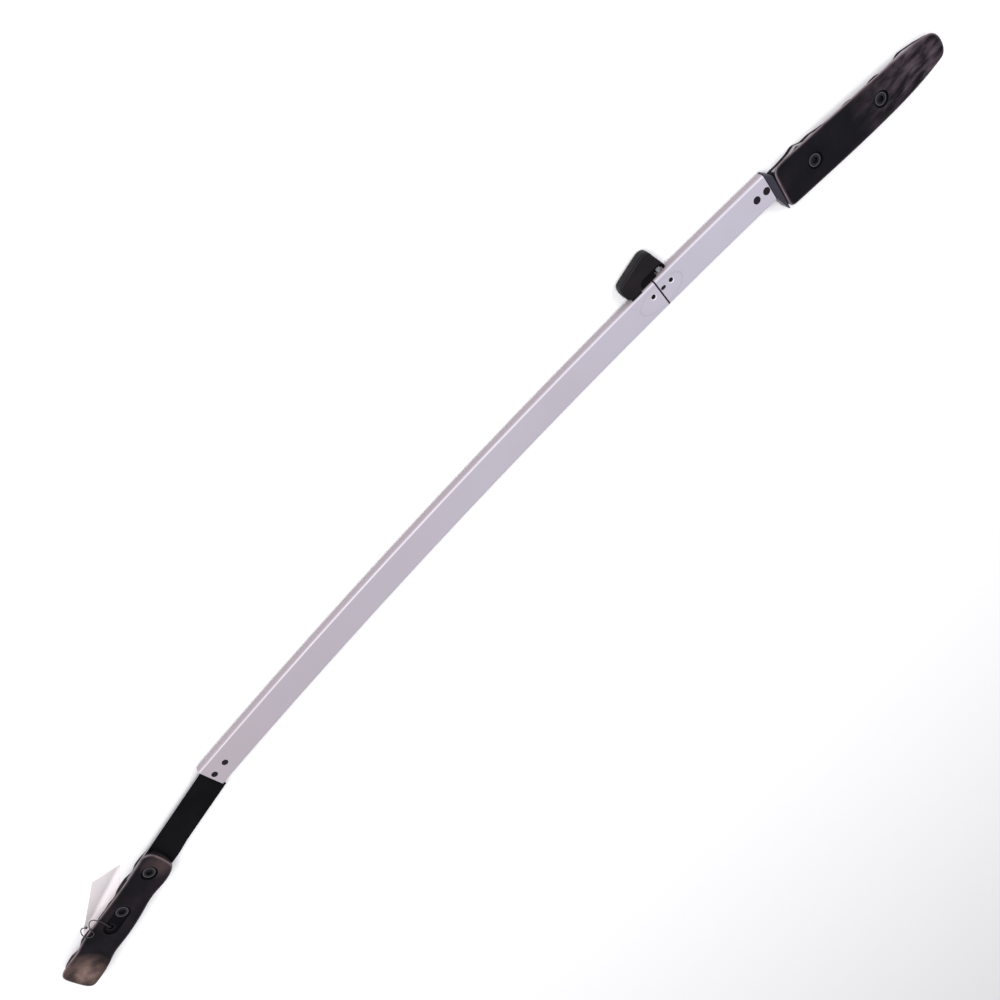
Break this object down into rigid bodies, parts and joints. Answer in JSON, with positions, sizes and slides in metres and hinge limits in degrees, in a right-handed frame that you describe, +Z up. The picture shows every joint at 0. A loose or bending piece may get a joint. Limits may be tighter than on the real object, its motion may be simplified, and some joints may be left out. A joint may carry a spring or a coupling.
{
  "type": "telescoping pole saw",
  "caption": "Slim bowed telescoping pole in two box sections with a cam clamp, a bolted grip at each end and a curved saw blade that draws out of the lower end.",
  "frame": {"origin": "on the floor under the middle of the outline of the stowed saw, which lies on the back of its grips", "axes": "+X along the pole towards the upper grip, +Y towards the outside of the bow, +Z up, away from the floor, out of the wide face with the bolt heads"},
  "size_m": [1.0494, 0.1041, 0.0178],
  "materials": {
    "pale_coat": "pale lilac-grey powder coat, satin",
    "slate_coat": "slate grey coat, satin",
    "nylon": "black nylon",
    "black_steel": "blackened steel",
    "plug_steel": "dark rivet heads, satin",
    "bracket_coat": "black coated bracket",
    "lever_plastic": "charcoal moulded plastic",
    "zinc_steel": "zinc plated",
    "bare_aluminium": "drawn aluminium",
    "gasket_rubber": "black rubber",
    "bare_steel": "bare steel",
    "grip_rubber": "black moulded rubber, worn brown at the edges",
    "blade_black": "black coated bar, bright toothed blade",
    "string": "black elastic thread",
    "card": "blank white card"
  },
  "bodies": {
    "outer_pole": {"outer_tube": "pale_coat", "mouth_bush": "nylon", "bush_screw": "black_steel", "throat_liner": "nylon", "throat_rivets": "plug_steel", "clamp_bracket": "bracket_coat", "lever_pin": "black_steel"},
    "clamp_lever": {"clamp_lever": "lever_plastic", "lever_adjuster": "zinc_steel", "adjuster_nut": "zinc_steel"},
    "brake_pad": {"brake_pad": "nylon"},
    "upper_section": {"inner_tube": "bare_aluminium", "slide_guide": "nylon", "guide_rivets": "zinc_steel", "upper_shell": "pale_coat", "shell_spacer": "nylon", "seam_gasket": "gasket_rubber", "seam_set_screws": "black_steel", "collar_gasket": "gasket_rubber", "upper_collar": "slate_coat", "collar_rivets": "plug_steel", "upper_tang": "bare_steel", "upper_front_scale": "grip_rubber", "upper_back_scale": "grip_rubber", "upper_grip_bolts": "black_steel", "upper_grip_nuts": "black_steel"},
    "saw": {"saw_blade": "blade_black", "lower_front_scale": "grip_rubber", "lower_back_scale": "grip_rubber", "lower_grip_bolts": "black_steel", "lower_grip_nuts": "black_steel", "lanyard_tube": "black_steel", "tag_string": "string", "hang_tag": "card"}
  },
  "joints": [
    {"name": "pole_extend", "type": "hinge", "parent": "outer_pole", "child": "upper_section", "pos_m": [0.02345, -5.54307, 0.008], "axis": [0, 0, -1], "range_deg": [0, 4.53]},
    {"name": "blade_draw", "type": "hinge", "parent": "outer_pole", "child": "saw", "pos_m": [0.02345, -5.54307, 0.008], "axis": [0, 0, 1], "range_deg": [0, 3.09]},
    {"name": "clamp_lever_swing", "type": "hinge", "parent": "outer_pole", "child": "clamp_lever", "pos_m": [0.2144, 0.04167, 0.008], "axis": [0, 0, 1], "range_deg": [0, 90]},
    {"name": "brake_pad_lift", "type": "slide", "parent": "outer_pole", "child": "brake_pad", "axis": [0.0351, 0.9994, 0], "range_m": [0, 0.0003]}
  ],
  "couplings": [
    {"joint": "brake_pad_lift", "follows": "clamp_lever_swing", "m_per_rad": 0.0001908}
  ]
}
